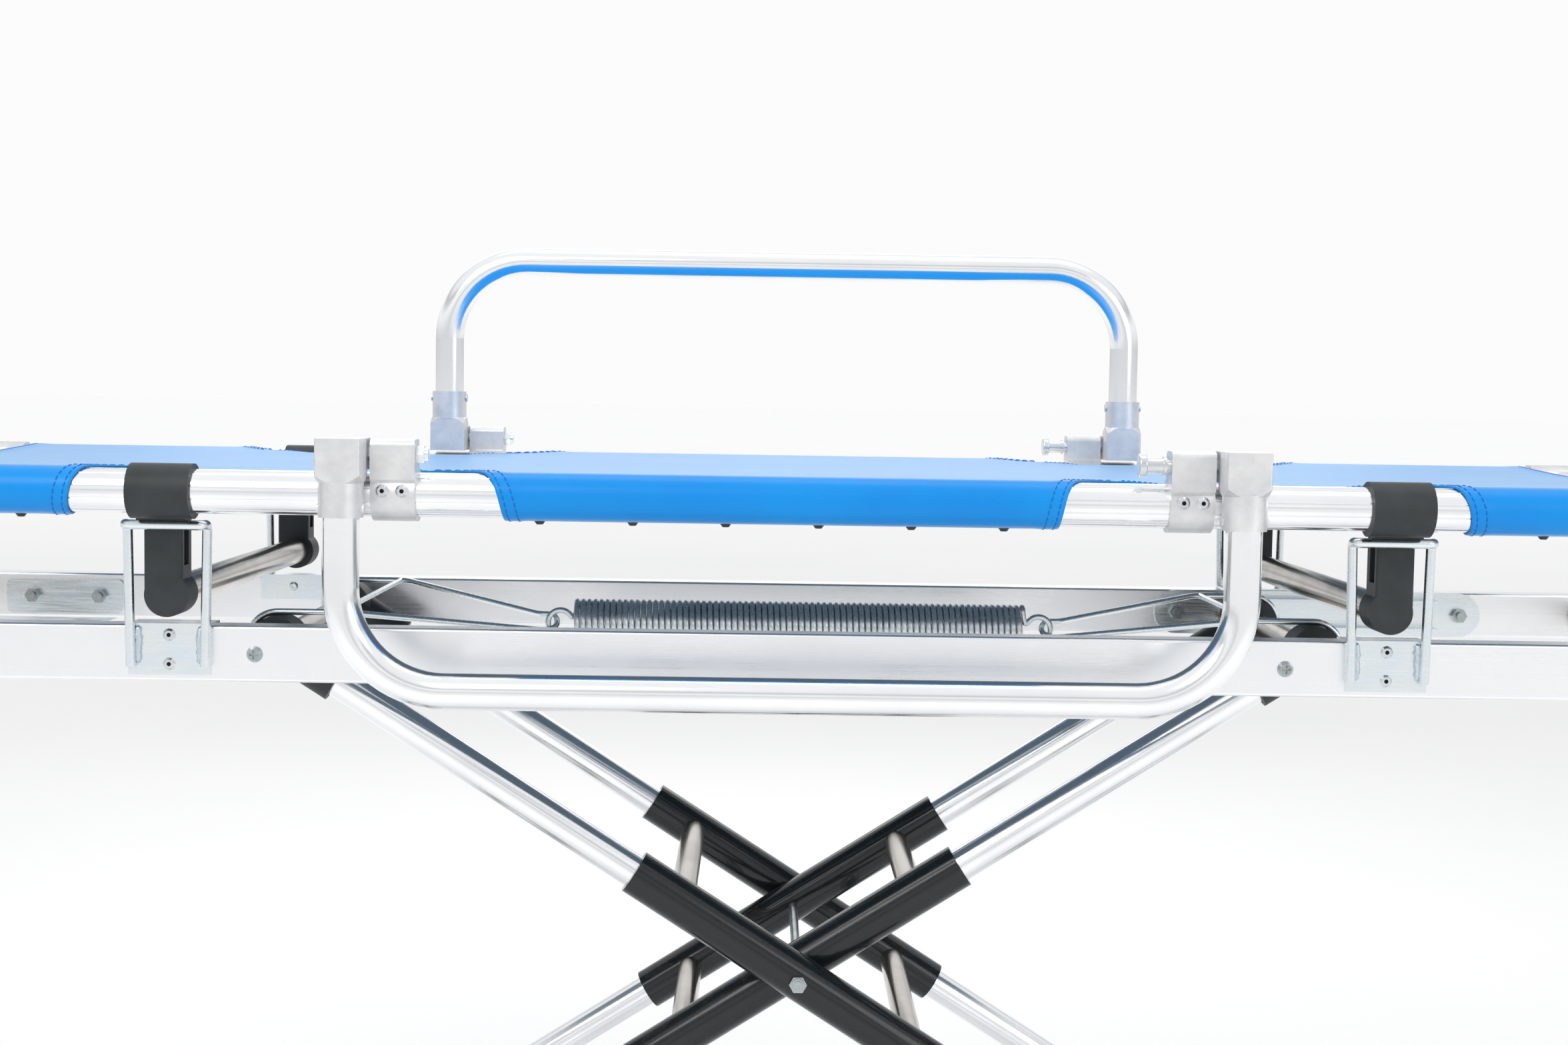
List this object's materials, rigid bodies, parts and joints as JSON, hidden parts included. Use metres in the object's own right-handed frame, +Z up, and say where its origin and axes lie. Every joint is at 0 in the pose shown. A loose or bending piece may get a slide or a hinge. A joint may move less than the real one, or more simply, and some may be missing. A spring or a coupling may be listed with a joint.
{
  "type": "folding stretcher",
  "caption": "Ambulance stretcher: a lift-off litter with drop-down guard rails on a scissor-legged, wheeled undercarriage with a counterbalance spring.",
  "frame": {"origin": "floor level under the middle of the whole object's bounding box, with the right guard hanging and the left guard raised", "axes": "+X along the stretcher towards the foot end, +Y towards the left side of someone lying on it, +Z up"},
  "size_m": [1.95, 0.6002, 1.0791],
  "materials": {
    "bright_tube": "satin drawn tube",
    "rail_aluminium": "satin extrusion",
    "cast_aluminium": "rough casting",
    "zinc_steel": "bright zinc plate",
    "rivet_steel": "polished",
    "cross_steel": "drawn stainless tube",
    "spring_steel": "oiled wire",
    "black_plastic": "fine spark texture",
    "black_sleeve": "gloss",
    "blue_cover": "coated fabric, semi gloss",
    "fork_steel": "bright zinc plate",
    "wheel_rubber": "moulded rubber"
  },
  "bodies": {
    "undercarriage": {"rail_right": "rail_aluminium", "rail_left": "rail_aluminium", "rail_caps": "black_plastic", "stirrups": "zinc_steel", "stirrup_plates": "zinc_steel", "stirrup_rivets": "rivet_steel", "pivot_axle": "cross_steel", "pivot_screws": "zinc_steel", "slider_guides": "zinc_steel", "rail_bolts": "zinc_steel", "loader_brackets": "zinc_steel", "backing_plates": "zinc_steel", "rail_cross_tubes": "cross_steel", "spring": "spring_steel", "yoke_head": "zinc_steel"},
    "litter": {"side_tube_right": "bright_tube", "side_tube_left": "bright_tube", "end_grips": "black_plastic", "end_spreaders": "bright_tube", "spreader_sockets": "cast_aluminium", "cover": "blue_cover", "cover_rivets": "black_plastic", "arm_clamps": "black_plastic", "litter_cross_tubes": "cross_steel", "guard_saddles": "cast_aluminium", "hinge_pins": "zinc_steel", "saddle_rivets": "rivet_steel"},
    "guard_right": {"guard_rail_right": "bright_tube", "guard_blocks_right": "cast_aluminium"},
    "guard_left": {"guard_rail_left": "bright_tube", "guard_blocks_left": "cast_aluminium"},
    "plunger_right": {"plunger_right": "rivet_steel"},
    "plunger_left": {"plunger_left": "rivet_steel"},
    "outer_legs": {"outer_leg_tubes": "bright_tube", "outer_leg_sleeves": "black_sleeve", "outer_leg_fittings": "black_plastic", "outer_leg_braces": "cross_steel", "cross_bolt": "zinc_steel", "sliding_axle_bottom": "cross_steel"},
    "inner_legs": {"inner_leg_tubes": "bright_tube", "inner_leg_sleeves": "black_sleeve", "inner_leg_fittings": "black_plastic", "inner_leg_braces": "cross_steel", "sliding_axle_top": "cross_steel"},
    "foot_yoke": {"yoke_foot": "zinc_steel"},
    "spring_end": {"spring_hook": "spring_steel"},
    "base": {"base_rails": "rail_aluminium", "base_cross_tubes": "cross_steel", "base_axle": "cross_steel", "castor_plates": "zinc_steel"},
    "loading_wheel_right": {"loading_wheel_right": "wheel_rubber"},
    "loading_wheel_left": {"loading_wheel_left": "wheel_rubber"},
    "castor_head_right": {"castor_fork_head_right": "fork_steel"},
    "wheel_head_right": {"castor_wheel_head_right": "wheel_rubber"},
    "castor_head_left": {"castor_fork_head_left": "fork_steel"},
    "wheel_head_left": {"castor_wheel_head_left": "wheel_rubber"},
    "castor_foot_right": {"castor_fork_foot_right": "fork_steel"},
    "wheel_foot_right": {"castor_wheel_foot_right": "wheel_rubber"},
    "castor_foot_left": {"castor_fork_foot_left": "fork_steel"},
    "wheel_foot_left": {"castor_wheel_foot_left": "wheel_rubber"}
  },
  "joints": [
    {"name": "fold", "type": "hinge", "parent": "undercarriage", "child": "outer_legs", "pos_m": [-0.41819, 0.01487, 0.72459], "axis": [0, 1, 0], "range_deg": [-24, 0]},
    {"name": "leg_crossing", "type": "hinge", "parent": "outer_legs", "child": "inner_legs", "pos_m": [0.017, 0.01487, 0.44735], "axis": [0, 1, 0], "range_deg": [0, 48]},
    {"name": "base_level", "type": "hinge", "parent": "inner_legs", "child": "base", "pos_m": [-0.41819, 0.01487, 0.1701], "axis": [0, 1, 0], "range_deg": [-24, 0]},
    {"name": "yoke_level", "type": "hinge", "parent": "inner_legs", "child": "foot_yoke", "pos_m": [0.45219, 0.01487, 0.72459], "axis": [0, 1, 0], "range_deg": [-24, 0]},
    {"name": "spring_stretch", "type": "slide", "parent": "undercarriage", "child": "spring_end", "axis": [1, 0, 0], "range_m": [0, 0.15029], "deforming": ["spring", "spring_hook"]},
    {"name": "litter_lift", "type": "slide", "parent": "undercarriage", "child": "litter", "axis": [0, 0, 1], "range_m": [0, 0.25]},
    {"name": "guard_right_swing", "type": "hinge", "parent": "litter", "child": "guard_right", "pos_m": [0, -0.25712, 0.88609], "axis": [-1, 0, 0], "range_deg": [0, 180]},
    {"name": "guard_left_swing", "type": "hinge", "parent": "litter", "child": "guard_left", "pos_m": [0, 0.28687, 0.88609], "axis": [-1, 0, 0], "range_deg": [0, 180]},
    {"name": "plunger_right_pull", "type": "slide", "parent": "litter", "child": "plunger_right", "axis": [-1, 0, 0], "range_m": [0, 0.008], "stiffness_N_per_m": 900, "springref_m": -0.004},
    {"name": "plunger_left_pull", "type": "slide", "parent": "litter", "child": "plunger_left", "axis": [-1, 0, 0], "range_m": [0, 0.008], "stiffness_N_per_m": 900, "springref_m": -0.004},
    {"name": "loading_wheel_right_spin", "type": "hinge", "parent": "undercarriage", "child": "loading_wheel_right", "pos_m": [-0.862, -0.20287, 0.64859], "axis": [0, 1, 0], "continuous": true},
    {"name": "loading_wheel_left_spin", "type": "hinge", "parent": "undercarriage", "child": "loading_wheel_left", "pos_m": [-0.862, 0.23262, 0.64859], "axis": [0, 1, 0], "continuous": true},
    {"name": "castor_head_right_swivel", "type": "hinge", "parent": "base", "child": "castor_head_right", "pos_m": [-0.51, -0.18163, 0.15], "axis": [0, 0, 1], "continuous": true},
    {"name": "wheel_head_right_spin", "type": "hinge", "parent": "castor_head_right", "child": "wheel_head_right", "pos_m": [-0.545, -0.18163, 0.0625], "axis": [0, 1, 0], "continuous": true},
    {"name": "castor_head_left_swivel", "type": "hinge", "parent": "base", "child": "castor_head_left", "pos_m": [-0.51, 0.21138, 0.15], "axis": [0, 0, 1], "continuous": true},
    {"name": "wheel_head_left_spin", "type": "hinge", "parent": "castor_head_left", "child": "wheel_head_left", "pos_m": [-0.545, 0.21138, 0.0625], "axis": [0, 1, 0], "continuous": true},
    {"name": "castor_foot_right_swivel", "type": "hinge", "parent": "base", "child": "castor_foot_right", "pos_m": [0.73, -0.18163, 0.15], "axis": [0, 0, 1], "continuous": true},
    {"name": "wheel_foot_right_spin", "type": "hinge", "parent": "castor_foot_right", "child": "wheel_foot_right", "pos_m": [0.695, -0.18163, 0.0625], "axis": [0, 1, 0], "continuous": true},
    {"name": "castor_foot_left_swivel", "type": "hinge", "parent": "base", "child": "castor_foot_left", "pos_m": [0.73, 0.21138, 0.15], "axis": [0, 0, 1], "continuous": true},
    {"name": "wheel_foot_left_spin", "type": "hinge", "parent": "castor_foot_left", "child": "wheel_foot_left", "pos_m": [0.695, 0.21138, 0.0625], "axis": [0, 1, 0], "continuous": true}
  ],
  "couplings": [
    {"joint": "leg_crossing", "follows": "fold", "ratio": -2},
    {"joint": "base_level", "follows": "fold", "ratio": 1},
    {"joint": "yoke_level", "follows": "fold", "ratio": 1},
    {"joint": "spring_stretch", "follows": "fold", "m_per_rad": -0.35878}
  ]
}
